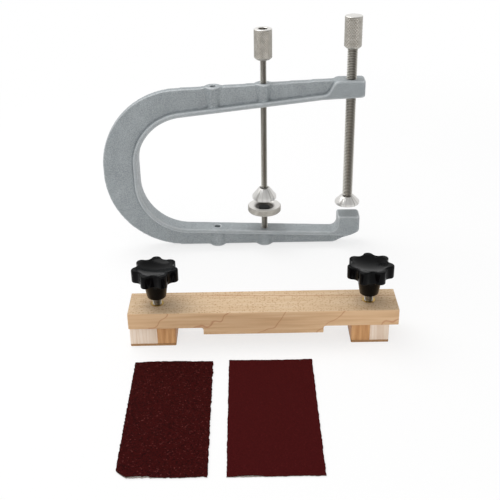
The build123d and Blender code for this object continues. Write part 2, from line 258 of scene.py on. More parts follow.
def knurledSteel(name, cup=None):
    # nickel-plated knurl: satin beige grey, points worn bright, darker between them, faces that look up
    # # painted paler as painted light from above; cup is the (centre, radius) of a hollow painted in shade
    material, tree, shader, place = newMaterial(name)
    grimeSize = 2.5 * mm
    grime = addNode(tree, "TexNoise", inputs={"Vector": place, "Scale": 1 / grimeSize, "Detail": 4.0})
    base = addNode(tree, "ValToRGB", inputs={"Fac": grime.outputs["Fac"]},
                   stops=[(0.3, "#a19d95"), (0.7, "#bab6af")])
    bend = addNode(tree, "NewGeometry").outputs["Pointiness"]
    worn = addNode(tree, "MapRange",
                   inputs={"Value": bend, "From Min": 0.52, "From Max": 0.66, "To Max": 0.9})
    # darker in the valleys between the points
    valleyDarkening = addNode(tree, "MapRange",
                   inputs={"Value": bend, "From Min": 0.49, "From Max": 0.38, "To Max": 0.95})
    bright = addNode(tree, "Mix", colorMix, {"Factor": worn, 6: base.outputs["Color"], 7: linear("#cfccc6")})
    valleyDarkened = addNode(tree, "Mix", colorMix, {"Factor": valleyDarkening, 6: bright.outputs[2], 7: linear("#5d5850")})
    # painted light: faces that look up are painted paler, as if lit from above
    facing = addNode(tree, "SeparateXYZ", inputs={"Vector": addNode(tree, "TexCoord").outputs["Normal"]})
    paintedTopLight = addNode(tree, "MapRange",
                     inputs={"Value": facing.outputs["Z"], "From Min": 0.55, "From Max": 0.8})
    color = addNode(tree, "Mix", colorMix, {"Factor": paintedTopLight, 6: valleyDarkened.outputs[2], 7: linear("#e4e2de")})
    if cup:
        centre, radius = cup
        reach = distanceFromAxis(tree, partsAbout(tree, place, (centre.x, centre.y, 0)))
        # painted shade: the hollow darkens from its mouth down towards its floor
        paintedHollowShade = addNode(tree, "MapRange", inputs={"Value": reach, "From Min": radius - 0.4 * mm,
                                                   "From Max": radius - 2.2 * mm, "To Max": 0.92})
        color = addNode(tree, "Mix", colorMix, {"Factor": paintedHollowShade, 6: color.outputs[2], 7: linear("#2e2721")})
    finishMaterial(tree, shader, color.outputs[2], {"Metallic": 1.0, "Roughness": 0.36})
    return material


def rolledThread(name, centre, radius, depth):
    # rolled steel thread: bright crests and darker roots, light and dark bands round the rod that are partly
    # grime and partly painted
    # # reflection, and one long painted reflection down the rod as a dark streak; radius and depth are the
    # thread's, in mm
    material, tree, shader, place = newMaterial(name)
    paintedStreakAngle = 1.25        # radians, where the painted dark reflection streak runs
    grimeAndSheenPerRadian = 1.6
    stretch = 12.0            # how fast the grime and painted sheen change along the rod, per metre
    parts = partsAbout(tree, place, (centre.x, centre.y, 0))
    # darker towards the thread's roots, lighter at the crests
    crest = addNode(tree, "MapRange", inputs={"Value": distanceFromAxis(tree, parts), "To Max": 0.72,
                                              "From Min": (radius - depth) * mm, "From Max": radius * mm})
    angle = addNode(tree, "Math", arcTangent, {0: parts["Y"], 1: parts["X"]}).outputs[0]
    alongRod = addNode(tree, "Math", multiply, {0: parts["Z"], 1: stretch})
    grimeAndSheenPlace = addNode(tree, "CombineXYZ", inputs={"X": angle, "Y": alongRod})
    grimeAndSheen = addNode(tree, "TexNoise", inputs={"Vector": grimeAndSheenPlace, "Scale": grimeAndSheenPerRadian, "Detail": 3.0})
    tone = addNode(tree, "Math", multiplyAdd, {0: grimeAndSheen.outputs["Fac"], 1: 0.5, 2: crest})
    base = addNode(tree, "ValToRGB", inputs={"Fac": tone},
                   stops=[(0.15, "#5c5850"), (0.5, "#a19d95"), (0.95, "#dad8d2")])
    # painted reflection: one dark streak down one side of the rod, mixed over the colour
    fromPaintedStreak = addNode(tree, "Math", {"operation": "ADD"}, {0: angle, 1: paintedStreakAngle})
    offPaintedStreak = addNode(tree, "Math", absolute, {0: fromPaintedStreak})
    paintedStreak = addNode(tree, "MapRange",
                     inputs={"Value": offPaintedStreak, "From Min": 0.6, "From Max": 0.15, "To Max": 0.6})
    withPaintedStreak = addNode(tree, "Mix", colorMix, {"Factor": paintedStreak, 6: base.outputs["Color"], 7: linear("#5a544b")})
    finishMaterial(tree, shader, withPaintedStreak.outputs[2], {"Metallic": 1.0, "Roughness": 0.34})
    return material


def sawnWood(name, pale, mid, dark, line, flecks, band):
    # sanded hardwood: long soft grain bands up the piece, short dark pores, a few coloured growth lines;
    # band is the bands' width in mm, flecks how strong the pores are
    material, tree, shader, place = newMaterial(name)
    lineWidth = 16        # mm
    poreWidth = 0.5       # mm; real pores are about 0.1 mm wide, drawn coarser so that they show
    grainPlace = addNode(tree, "Mapping",
                         inputs={"Vector": place, "Scale": [v / (band * mm) for v in (1, 1, 0.06)]})
    grain = addNode(tree, "TexNoise",
                    inputs={"Vector": grainPlace, "Scale": 1.0, "Detail": 4.0, "Distortion": 0.4})
    porePlace = addNode(tree, "Mapping",
                        inputs={"Vector": place, "Scale": [v / (poreWidth * mm) for v in (1, 1, 0.16)]})
    pores = addNode(tree, "TexNoise", inputs={"Vector": porePlace, "Scale": 1.0, "Detail": 1.0})
    linePlace = addNode(tree, "Mapping",
                        inputs={"Vector": place, "Scale": [v / (lineWidth * mm) for v in (1, 1, 0.06)]})
    lines = addNode(tree, "TexWave", {"wave_type": "BANDS", "bands_direction": "Y"},
                    {"Vector": linePlace, "Scale": 0.35, "Distortion": 6.0,
                     "Detail": 2.0, "Detail Scale": 0.6})
    base = addNode(tree, "ValToRGB", inputs={"Fac": grain.outputs["Fac"]},
                   stops=[(0.3, dark), (0.5, mid), (0.68, pale)])
    poreMask = addNode(tree, "MapRange", inputs={"Value": pores.outputs["Fac"], "From Min": 0.62,
                                                 "From Max": 0.74, "To Max": 0.45 * flecks})
    withPores = addNode(tree, "Mix", colorMix,
                        {"Factor": poreMask, 6: base.outputs["Color"], 7: linear(dark)})
    lineMask = addNode(tree, "MapRange", inputs={"Value": lines.outputs["Fac"], "From Min": 0.965,
                                                 "From Max": 1.0, "To Max": 0.55})
    withLines = addNode(tree, "Mix", colorMix, {"Factor": lineMask, 6: withPores.outputs[2], 7: linear(line)})
    finishMaterial(tree, shader, withLines.outputs[2], {"Roughness": 0.55},
                   {"Strength": 0.15, "Distance": 0.1 * mm, "Height": pores.outputs["Fac"]})
    return material


# fewerFlecks and the two slants are read as they are, the rest is in mm
beechSettings = {
    "grainWidth": 2.0,        # mm, across the bar
    "fleckLength": 1.7,       # mm; real flecks are about 0.2 mm wide, drawn 0.5 mm wide so that they show
    "fleckWidth": 0.8,
    "fewerFlecks": 0.35,      # the share of flecks left out
    "topLinePlace": 9.0,      # mm behind the middle of the bar
    "topLineWander": 3.0,     # how far it wanders from its place, and how long its waves are
    "topLineWaves": 22.0,
    "topLineSlant": 0.03,
    "topLineWidth": 0.55,     # the middle to where it has faded
    "growthGap": 19.0,        # half of the distance between growth lines
    "growthWander": 60.0,
    "growthWaves": 24.0,
    "growthSlant": -1.4,
    "growthWidth": 1.3,
    "lineCore": 0.1,          # the middle of either line, where it is darkest
}


def steamedBeech(name, centre):
    # sanded beech bar: the top is a quarter-sawn face full of short brown flecks with one reddish line along
    # it, the front and back are flat-sawn, smoother and redder, crossed by a few soft growth lines
    material, tree, shader, place = newMaterial(name)
    s = inMetres(beechSettings)
    parts = partsAbout(tree, place, centre)
    facing = addNode(tree, "SeparateXYZ", inputs={"Vector": addNode(tree, "TexCoord").outputs["Normal"]})
    steep = addNode(tree, "Math", absolute, {0: facing.outputs["Y"]})
    side = addNode(tree, "MapRange",
                   inputs={"Value": steep, "From Min": 0.5, "From Max": 0.8}).outputs["Result"]
    top = addNode(tree, "Math", {"operation": "SUBTRACT"}, {0: 1.0, 1: side}).outputs[0]

    grainPlace = addNode(tree, "Mapping",
                         inputs={"Vector": place, "Scale": [v / s["grainWidth"] for v in (0.05, 1, 1)]})
    grain = addNode(tree, "TexNoise", inputs={"Vector": grainPlace, "Scale": 1.0,
                                              "Detail": 4.0, "Distortion": 0.3}).outputs["Fac"]
    topWood = addNode(tree, "ValToRGB", inputs={"Fac": grain},
                      stops=[(0.25, "#ceaf8a"), (0.5, "#d8bb97"), (0.75, "#e0c6a6")])
    sideWood = addNode(tree, "ValToRGB", inputs={"Fac": grain},
                       stops=[(0.25, "#cfa67c"), (0.5, "#ddb68c"), (0.75, "#e8c59d")])
    wood = addNode(tree, "Mix", colorMix,
                   {"Factor": side, 6: topWood.outputs["Color"], 7: sideWood.outputs["Color"]})

    fleckPlace = addNode(tree, "Mapping", inputs={"Vector": place, "Scale": [
        1 / s["fleckLength"], 1 / s["fleckWidth"], 1 / s["fleckWidth"]]})
    flecks = addNode(tree, "TexVoronoi", {"feature": "F1"}, {"Vector": fleckPlace, "Scale": 1.0})
    fleck = addNode(tree, "MapRange", inputs={"Value": flecks.outputs["Distance"], "From Min": 0.46,
                                              "From Max": 0.2, "To Max": 0.95})
    chosen = addNode(tree, "SeparateColor", inputs={"Color": flecks.outputs["Color"]}).outputs["Red"]
    present = addNode(tree, "Math", {"operation": "GREATER_THAN"},
                      {0: chosen, 1: beechSettings["fewerFlecks"]})
    drawn = addNode(tree, "Math", multiply, {0: fleck, 1: present})
    onTop = addNode(tree, "Math", multiply, {0: drawn, 1: top})
    flecked = addNode(tree, "Mix", colorMix, {"Factor": onTop, 6: wood.outputs[2], 7: linear("#b08358")})

    # the line along the top wanders a little and runs slightly across the bar
    wander = addNode(tree, "TexNoise",
                     inputs={"Vector": place, "Scale": 1 / s["topLineWaves"], "Detail": 2.0})
    drift = addNode(tree, "Math", multiplyAdd,
                    {0: wander.outputs["Fac"], 1: s["topLineWander"], 2: parts["Y"]})
    slanted = addNode(tree, "Math", multiplyAdd, {0: parts["X"], 1: beechSettings["topLineSlant"], 2: drift})
    offLine = addNode(tree, "Math", {"operation": "SUBTRACT"}, {0: slanted, 1: s["topLinePlace"]})
    lineGap = addNode(tree, "Math", absolute, {0: offLine})
    topLine = addNode(tree, "MapRange", inputs={"Value": lineGap, "From Min": s["topLineWidth"],
                                                "From Max": s["lineCore"], "To Max": 0.6})
    lineOnTop = addNode(tree, "Math", multiply, {0: topLine, 1: top})
    lined = addNode(tree, "Mix", colorMix, {"Factor": lineOnTop, 6: flecked.outputs[2], 7: linear("#a8683f")})

    # growth lines on the front and back
    sway = addNode(tree, "TexNoise", inputs={"Vector": place, "Scale": 1 / s["growthWaves"], "Detail": 2.0})
    swung = addNode(tree, "Math", multiplyAdd, {0: sway.outputs["Fac"], 1: s["growthWander"], 2: parts["X"]})
    leaning = addNode(tree, "Math", multiplyAdd, {0: parts["Z"], 1: beechSettings["growthSlant"], 2: swung})
    folded = addNode(tree, "Math", {"operation": "PINGPONG"}, {0: leaning, 1: s["growthGap"]})
    growth = addNode(tree, "MapRange", inputs={"Value": folded, "From Min": s["growthWidth"],
                                               "From Max": s["lineCore"], "To Max": 0.6})
    growthOnSide = addNode(tree, "Math", multiply, {0: growth, 1: side})
    grown = addNode(tree, "Mix", colorMix,
                    {"Factor": growthOnSide, 6: lined.outputs[2], 7: linear("#b56d47")})
    finishMaterial(tree, shader, grown.outputs[2], {"Roughness": 0.6, "Specular IOR Level": 0.35},
                   {"Strength": 0.2, "Distance": 0.1 * mm, "Height": flecks.outputs["Distance"]})
    return material


def speckled(name, size, detail, dark, pale, values, relief=None):
    # a plain material whose shade drifts between two colours: size is one speck's, in mm, and relief a
    # bump's (strength, depth in mm)
    material, tree, shader, place = newMaterial(name)
    speck = addNode(tree, "TexNoise", inputs={"Vector": place, "Scale": 1 / (size * mm), "Detail": detail})
    base = addNode(tree, "ValToRGB", inputs={"Fac": speck.outputs["Fac"]}, stops=[(0.3, dark), (0.7, pale)])
    bump = relief and {"Strength": relief[0], "Distance": relief[1] * mm, "Height": speck.outputs["Fac"]}
    finishMaterial(tree, shader, base.outputs["Color"], values, bump)
    return material


def abrasiveGrit(name, size, dark, mid, glint, relief):
    # resin-bonded aluminium oxide: dull grains, each with its own shade, and a few paler ones that are
    # painted glints;
    # real grains are 0.1 to 0.3 mm across, drawn 0.45 and 0.7 mm so that they show
    material, tree, shader, place = newMaterial(name)
    grains = addNode(tree, "TexVoronoi", {"feature": "F1"}, {"Vector": place, "Scale": 1 / size})
    shade = addNode(tree, "SeparateColor", inputs={"Color": grains.outputs["Color"]})
    base = addNode(tree, "ValToRGB", inputs={"Fac": shade.outputs["Red"]},
                   stops=[(0.0, dark), (0.6, mid), (0.93, mid), (1.0, glint)])
    finishMaterial(tree, shader, base.outputs["Color"], {"Roughness": 0.9, "Specular IOR Level": 0.06},
                   {"Strength": relief, "Distance": 0.4 * size, "Height": grains.outputs["Distance"]})
    return material


# every thread of the set, in mm: steps is the facets in one turn
threadSettings = {
    "end_screw": {"radius": 4.0, "pitch": 1.25, "depth": 0.6, "steps": 28},
    "inner_screw": {"radius": 2.5, "pitch": 0.8, "depth": 0.4, "steps": 24},
    "support_stud": {"radius": 2.5, "pitch": 0.8, "depth": 0.35, "steps": 24},
    "left_knob_stud": {"radius": 3.0, "pitch": 1.0, "depth": 0.5, "steps": 24},
    "right_knob_stud": {"radius": 3.0, "pitch": 1.0, "depth": 0.5, "steps": 24},
}
cupMouth = 9.2            # mm, radius of the hollow in the support disc

paint = paintedCasting()
steel = turnedSteel("turnedSteel", 0)
padSteel = {"end_swivel_pad": turnedSteel("endPadSteel", centreOf("end_swivel_pad").x),
            "inner_swivel_pad": turnedSteel("innerPadSteel", centreOf("inner_swivel_pad").x)}
knurl = knurledSteel("knurledSteel")
cupKnurl = knurledSteel("cupSteel", (centreOf("support_disc"), cupMouth * mm))
threads = {name: rolledThread(name + "Thread", centreOf(name), thread["radius"], thread["depth"])
           for name, thread in threadSettings.items()}
# moulded rubber: matt black
rubber = speckled("cupRubber", 0.6, 2.0, "#151515", "#232323", {"Roughness": 0.8})
beech = steamedBeech("sandedBeech", centreOf("caul_bar"))
# maple is nearly white with faint lines, cherry a warm brown with darker ones
maple = sawnWood("sandedMaple", "#f7e6d6", "#f1ddc9", "#e8d0b8", "#dcc0a6", 0.5, 1.3)
cherry = sawnWood("sandedCherry", "#dcab76", "#cc9762", "#bb824e", "#9f6738", 0.8, 1.6)
# tanned leather: tan, slightly mottled, with little shine
leather = speckled("tannedLeather", 1.2, 5.0, "#9a7148", "#b98f62", {"Roughness": 0.7})
# turned brass: warm glints
brass = speckled("turnedBrass", 2, 3.0, "#b8944f", "#d3b26c", {"Metallic": 1.0, "Roughness": 0.3})
# black phenolic from a polished mould: tight dark reflections with a faint orange peel
phenolic = speckled("mouldedPhenolic", 5, 1.0, "#070708", "#0b0b0c",
                    {"Roughness": 0.14, "Specular IOR Level": 0.07}, (0.06, 0.3))
# backing paper: dull grey fibres
paper = speckled("backingPaper", 1.0, 5.0, "#77706a", "#9d968e", {"Roughness": 0.9})
coarseGrit = abrasiveGrit("coarseGrit", 0.7 * mm, "#240404", "#3b0a09", "#5c2a28", 0.8)
fineGrit = abrasiveGrit("fineGrit", 0.45 * mm, "#3c0a0b", "#430d0e", "#4f1415", 0.4)
print("materials made")

nodeMaterials = {
    "clamp_frame": paint,
    "end_screw": threads["end_screw"], "end_screw_head": knurl,
    "end_swivel_pad": steel, "end_thrust_washer": steel,
    "inner_screw": threads["inner_screw"], "inner_screw_head": knurl,
    "inner_swivel_pad": steel, "inner_thrust_washer": steel,
    "support_disc": cupKnurl, "support_stud": threads["support_stud"], "support_cup_pad": rubber,
    "caul_bar": beech,
    "coarse_sheet_backing": paper, "coarse_sheet_grit": coarseGrit,
    "fine_sheet_backing": paper, "fine_sheet_grit": fineGrit,
}
for side in ("left", "right"):
    nodeMaterials.update({
        f"{side}_knob": phenolic, f"{side}_knob_stud": threads[f"{side}_knob_stud"],
        f"{side}_bar_insert": brass, f"{side}_foot_outer_strip": maple, f"{side}_foot_inner_strip": cherry,
        f"{side}_foot_sole": leather, f"{side}_foot_clip": steel,
    })
for name, material in nodeMaterials.items():
    paintNode(name, material)


# clamp casting: the CAD frame with its edges and corners flowed soft, as they leave the sand

castingSettings = {
    "voxel": 0.8,         # mm, how coarse the skin is
    "softening": 3,
    "spareHole": -106.2,  # mm, where the second pair of bosses is drilled
    "innerBore": 2.55,
    "endBore": 4.05,
    "wall": 0.35,         # mm, how far from a bore the skin still belongs to its wall
}


def buildCasting():
    s = inMetres(castingSettings)
    rough = newObject("roughCasting", copyNode("clamp_frame"))
    skin = rough.modifiers.new("skin", "REMESH")
    skin.mode = "VOXEL"
    skin.voxel_size = s["voxel"]
    flow = rough.modifiers.new("flow", "SMOOTH")
    flow.factor = 0.5
    flow.iterations = s["softening"]
    cast = bpy.data.meshes.new_from_object(rough.evaluated_get(bpy.context.evaluated_depsgraph_get()))
    bpy.data.objects.remove(rough)
    bm = bmesh.new()
    bm.from_mesh(cast)
    # the skin draws the drilled holes in, so their walls are opened out to true circles again
    bores = [(centreOf("end_screw").x, s["endBore"]), (centreOf("inner_screw").x, s["innerBore"]),
             (centreOf("support_stud").x, s["innerBore"]), (s["spareHole"], s["innerBore"])]
    for axisX, radius in bores:
        for vert in bm.verts:
            away = math.hypot(vert.co.x - axisX, vert.co.y)
            if 0.5 * radius < away < radius + s["wall"]:
                vert.co.x = axisX + (vert.co.x - axisX) * radius / away
                vert.co.y *= radius / away
    finishPiece("clampCasting", bm, paint, "root", ["clamp_frame"], 60)


# screws: rolled thread, turned neck and ball

screwSettings = {
    "end_screw": {"pad": "end_swivel_pad", "ball": 2.8},        # mm, radius of the ball
    "inner_screw": {"pad": "inner_swivel_pad", "ball": 2.0},
}
neckSettings = {
    "share": 0.66,        # of the ball's radius, thin enough for the pad to swivel
    "gap": 0.6,           # mm, from the pad up to the thread
    "overlap": 0.1,       # mm, how far the neck runs into the thread
}


def threadedRod(bm, name, low, high):
    s = inMetres(threadSettings[name])
    centre = centreOf(name)
    pitch, outer = s["pitch"], s["radius"]
    inner = outer - s["depth"]
    root, flank, crest = 0.25 * pitch, 0.3125 * pitch, 0.125 * pitch    # the second flank is the rest
    profile = [(inner, 0), (inner, root), (outer, root + flank), (outer, root + flank + crest),
               (inner, pitch)]
    start = low - 1.5 * pitch
    verts = [bm.verts.new((centre.x + r, centre.y, start + z)) for r, z in profile]
    edges = [bm.edges.new(pair) for pair in zip(verts, verts[1:])]
    bmesh.ops.spin(bm, geom=verts + edges, cent=(centre.x, centre.y, 0), axis=(0, 0, 1),
                   dvec=(0, 0, pitch / s["steps"]), angle=2 * math.pi, steps=s["steps"])
    # one turn is doubled until the rod is long enough, then cut to length
    made = 1
    while made < math.ceil((high - low) / pitch) + 2:
        copied = bmesh.ops.duplicate(bm, geom=wholeMesh(bm))["geom"]
        bmesh.ops.translate(bm, verts=[g for g in copied if isinstance(g, bmesh.types.BMVert)],
                            vec=(0, 0, made * pitch))
        made *= 2
    bmesh.ops.remove_doubles(bm, verts=bm.verts, dist=2 * near)
    for height, outward in ((low, -1), (high, 1)):
        cut = bmesh.ops.bisect_plane(bm, geom=wholeMesh(bm), dist=0.1 * near, plane_co=(0, 0, height),
                                     plane_no=(0, 0, outward), clear_outer=True)
        rim = [e for e in cut["geom_cut"] if isinstance(e, bmesh.types.BMEdge)]
        bmesh.ops.holes_fill(bm, edges=rim, sides=0)


def buildScrew(name):
    settings = screwSettings[name]
    low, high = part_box(name)
    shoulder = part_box(settings["pad"])[1].z + neckSettings["gap"] * mm
    neckTop = shoulder + neckSettings["overlap"] * mm
    ball = settings["ball"] * mm
    neck = neckSettings["share"] * ball
    bm = bmesh.new()
    threadedRod(bm, name, shoulder, high.z)
    neckAngle = math.degrees(math.acos(neck / ball))
    points = arc(0, low.z + ball, ball, -90, neckAngle, 14) + [(neck, neckTop), (0, neckTop)]
    lathe(bm, points, centreOf(name), 40)
    finishPiece(name.replace("_screw", "ScrewRod"), bm, threads[name], name, [name])


# knurled heads and the knurled support disc: each diamond of the knurl is a small pyramid;
# real ones are about 1.2 mm apart, drawn 1.8 to 2.4 mm apart so that they show

headSettings = {
    "end_screw_head": {"radius": 6.8, "bore": 4.05, "socket": 14.0, "chamfer": 1.6, "round": 0.8,
                       "columns": 36, "depth": 0.6, "tube": None},
    "inner_screw_head": {"radius": 7.0, "bore": 2.55, "socket": 14.0, "chamfer": 1.6, "round": 0.8,
                         "columns": 46, "depth": 0.45, "tube": (3.6, 9.0)},    # mm, radius and depth
}


def knurlRows(radius, low, high, columns):
    # heights of the knurled band's rows, as far apart as its columns are
    count = max(2, round((high - low) / (2 * math.pi * radius / columns)))
    return [(radius, low + (high - low) * i / count) for i in range(count + 1)]


def cutKnurl(bm, centre, rows, columns, depth):
    radius, low = rows[0]
    step = rows[1][1] - low
    band = set()
    for vert in bm.verts:
        x, y = vert.co.x - centre.x, vert.co.y - centre.y
        if abs(math.hypot(x, y) - radius) < near and low - near < vert.co.z < rows[-1][1] + near:
            band.add(vert)
            column = round(math.atan2(y, x) / (2 * math.pi) * columns)
            if (column + round((vert.co.z - low) / step)) % 2:
                keep = 1 - depth / radius
                vert.co.x, vert.co.y = centre.x + x * keep, centre.y + y * keep
    faces = [f for f in bm.faces if len(f.verts) == 4 and all(v in band for v in f.verts)]
    bmesh.ops.triangulate(bm, faces=faces, quad_method="SHORT_EDGE")


def buildHead(name):
    s = inMetres(headSettings[name])
    low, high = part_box(name)
    centre = centreOf(name)
    radius, bore, rounding = s["radius"], s["bore"], s["round"]
    socket = low.z + s["socket"]
    rows = knurlRows(radius, low.z + s["chamfer"], high.z - rounding, s["columns"])
    points = [(0, socket), (bore, socket), (bore, low.z), (radius - s["chamfer"], low.z)] + rows
    points += arc(radius - rounding, high.z - rounding, rounding, 0, 90, 4)[1:]
    if s["tube"]:
        tube, drilled = (v * mm for v in s["tube"])
        edge, cone = 0.3 * mm, 0.58 * tube    # the chamfer of the hole, and the cone that a drill leaves
        points += [(tube + edge, high.z), (tube, high.z - edge), (tube, high.z - drilled),
                   (0, high.z - drilled - cone)]
    else:
        points += [(0, high.z)]
    bm = bmesh.new()
    lathe(bm, points, centre, s["columns"])
    cutKnurl(bm, centre, rows, s["columns"], s["depth"])
    body = name.replace("_head", "")
    finishPiece(body.replace("_screw", "ScrewHead"), bm, knurl, body, [name], 25)


discSettings = {"radius": 13.5, "edge": 0.7, "cupMouth": cupMouth, "cupFloor": 4.7, "cupDepth": 2.8,
                "stud": 2.5, "studSeat": 1.7, "columns": 96, "depth": 0.45}


def buildDisc():
    s = inMetres(discSettings)
    low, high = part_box("support_disc")
    centre = centreOf("support_disc")
    rows = knurlRows(s["radius"], low.z + s["edge"], high.z - s["edge"], s["columns"])
    points = [(0, low.z + s["studSeat"]), (s["stud"], low.z + s["studSeat"]), (s["stud"], low.z),
              (s["radius"] - s["edge"], low.z)] + rows
    points += [(s["radius"] - s["edge"], high.z), (s["cupMouth"] + 0.3 * mm, high.z),
               (s["cupMouth"], high.z - 0.2 * mm), (s["cupFloor"], high.z - s["cupDepth"]),
               (0, high.z - s["cupDepth"])]
    bm = bmesh.new()
    lathe(bm, points, centre, s["columns"])
    cutKnurl(bm, centre, rows, s["columns"], s["depth"])
    finishPiece("supportDisc", bm, cupKnurl, "support", ["support_disc"], 25)


def buildStud():
    low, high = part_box("support_stud")
    bm = bmesh.new()
    threadedRod(bm, "support_stud", low.z, high.z)
    finishPiece("supportStudRod", bm, threads["support_stud"], "support", ["support_stud"])


# swivel pads, as (radius, height) in mm from the pad's face

padSettings = {
    "end_swivel_pad": {"piece": "endPad", "body": "end_pad",
                       "outside": [(0, 0), (8.9, 0), (9.7, 0.25), (10.0, 0.9), (10.0, 2.1), (9.75, 2.45),
                                   (5.35, 6.85), (5.05, 7.0), (3.702, 7.0)],
                       "socket": [(3.702, 6.476), (2.465, 5.676), (2.9, 4.743), (2.9, 2.459), (0, 0.717)]},
    "inner_swivel_pad": {"piece": "innerPad", "body": "inner_pad",
                         "outside": [(0, 0), (9.0, 0), (9.5, 0.2), (9.7, 0.6), (9.7, 2.7), (9.45, 3.05),
                                     (4.65, 9.25), (4.35, 9.4), (3.454, 9.4)],
                         "socket": [(3.454, 8.898), (1.785, 4.441), (2.1, 3.766), (2.1, 2.112), (0, 0.85)]},
}


def buildPad(name):
    settings = padSettings[name]
    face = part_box(name)[0].z
    points = [(r * mm, face + z * mm) for r, z in settings["outside"] + settings["socket"]]
    bm = bmesh.new()
    lathe(bm, points, centreOf(name), 96)
    finishPiece(settings["piece"], bm, padSteel[name], settings["body"], [name], 28)


# star knobs on their studs

knobSettings = {
    "lobes": 7,
    "reach": 16.0,          # mm, axis to the tip of a lobe
    "lobeRadius": 3.4,
    "valleyRadius": 4.6,
    "rim": 9.0,
    "edge": 1.0,
    "dishReach": 12.5,
    "dishDepth": 2.0,
    "hubTop": 8.6,
    "hubBottom": 6.4,
    "bore": 3.05,
    "columns": 24,          # per lobe
    "studGroove": 2.1,      # mm, radius of the stud where the foot's clip sits
    "studPlay": 0.2,
}
knob = inMetres(knobSettings)


def starRadius(angle):
    # distance from the axis to the outline, as an angle from the middle of a lobe
    half = math.pi / knob["lobes"]
    angle = abs((angle + half) % (2 * half) - half)
    lobe = knob["reach"] - knob["lobeRadius"]
    span = knob["lobeRadius"] + knob["valleyRadius"]
    valley = lobe * math.cos(half) + math.sqrt(span ** 2 - (lobe * math.sin(half)) ** 2)
    share = knob["lobeRadius"] / span
    meetX = lobe + (valley * math.cos(half) - lobe) * share
    meetY = valley * math.sin(half) * share
    if angle < math.atan2(meetY, meetX):
        return lobe * math.cos(angle) + math.sqrt(knob["lobeRadius"] ** 2 - (lobe * math.sin(angle)) ** 2)
    rest = half - angle
    return valley * math.cos(rest) - math.sqrt(knob["valleyRadius"] ** 2 - (valley * math.sin(rest)) ** 2)


def buildKnob(side):
    name = f"{side}_knob"
    low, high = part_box(name)
    centre = centreOf(f"{side}_knob_stud")
    bore, edge, hubTop, hubBottom = (knob[key] for key in ("bore", "edge", "hubTop", "hubBottom"))
    rimLow = high.z - knob["rim"]

    # each ring: a plain radius, an inset from the star outline or a share of it, and a height or the dish
    rings = [("round", bore, rimLow - 0.2 * mm), ("round", bore, low.z + 0.3 * mm),
             ("round", bore + 0.3 * mm, low.z), ("round", hubBottom - 0.5 * mm, low.z),
             ("round", hubBottom, low.z + 0.5 * mm), ("round", hubTop, rimLow - 1.0 * mm),
             ("round", hubTop + 0.35 * mm, rimLow - 0.3 * mm), ("round", hubTop + 1.0 * mm, rimLow),
             ("inset", 0.6 * mm, rimLow), ("inset", 0.18 * mm, rimLow + 0.18 * mm),
             ("inset", 0, rimLow + 0.6 * mm)]
    for i in range(6):
        turn = math.radians(90 * i / 5)
        rings.append(("inset", edge * (1 - math.cos(turn)), high.z - edge * (1 - math.sin(turn))))
    rings += [("share", 1 - 0.09 * k, None) for k in range(1, 11)]     # ten rings down into the dish

    bm = bmesh.new()
    bmesh.ops.create_circle(bm, cap_ends=False, segments=knob["lobes"] * knob["columns"], radius=bore)
    ring = bm.verts[:]
    edges = bm.edges[:]
    for index, (kind, value, height) in enumerate(rings):
        if index:
            grown = bmesh.ops.extrude_edge_only(bm, edges=edges)["geom"]
            ring = {g for g in grown if isinstance(g, bmesh.types.BMVert)}
            edges = [g for g in grown if isinstance(g, bmesh.types.BMEdge) and ring.issuperset(g.verts)]
        for vert in ring:
            angle = math.atan2(vert.co.x, vert.co.y)
            outline = starRadius(angle)
            radius = {"round": value, "inset": outline - value, "share": (outline - edge) * value}[kind]
            z = height
            if z is None:
                inward = max(0.0, 1 - radius / knob["dishReach"])
                z = high.z - knob["dishDepth"] * (1 - (1 - inward) ** 2)
            vert.co = (radius * math.sin(angle), radius * math.cos(angle), z)
    bmesh.ops.holes_fill(bm, edges=[e for e in bm.edges if e.is_boundary], sides=0)
    bmesh.ops.translate(bm, verts=bm.verts, vec=(centre.x, centre.y, 0))
    finishPiece(f"{side}StarKnob", bm, phenolic, name, [name], 50)


def buildKnobStud(side):
    name = f"{side}_knob_stud"
    low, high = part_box(name)
    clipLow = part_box(f"{side}_foot_clip")[0].z
    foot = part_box(f"{side}_foot_inner_strip")[1].z
    radius = threadSettings[name]["radius"] * mm
    groove, play = knob["studGroove"], knob["studPlay"]
    threadLow = foot + 0.5 * mm
    bm = bmesh.new()
    threadedRod(bm, name, threadLow, high.z)
    lathe(bm, [(0, low.z), (radius - 0.4 * mm, low.z), (radius, low.z + 0.4 * mm), (radius, clipLow - play),
               (groove, clipLow - play), (groove, foot + play), (radius, foot + play),
               (radius, threadLow), (0, threadLow)], centreOf(name), 48)
    finishPiece(f"{side}KnobStudRod", bm, threads[name], f"{side}_knob", [name])


# caul bar and feet: planed wood with its edges eased

woodSettings = {"barEdge": 0.45, "footEdge": 0.35}    # mm


def buildWood():
    bm = copyNode("caul_bar")
    roundEdges(bm, woodSettings["barEdge"] * mm, 3)
    finishPiece("caulBarPlaned", bm, beech, "root", ["caul_bar"], 40)
    for side in ("left", "right"):
        for strip, wood, slot in (("outer", maple, "pale_wood"), ("inner", cherry, "brown_wood")):
            name = f"{side}_foot_{strip}_strip"
            bm = copyNode(name)
            roundEdges(bm, woodSettings["footEdge"] * mm, 2)
            finishPiece(f"{side}Foot{strip.capitalize()}Wood", bm, wood, f"{side}_foot", [name], 40)


# abrasive sheets: torn from a larger sheet, so the edges wander and the paper lies a little wavy;
# ragged, crown and wave are the depths in mm of the torn edge, the curved far edge and the waves, corner is
# the torn-off corner, bare is where the near edge has lost its grit (from and to as shares, depth in mm)

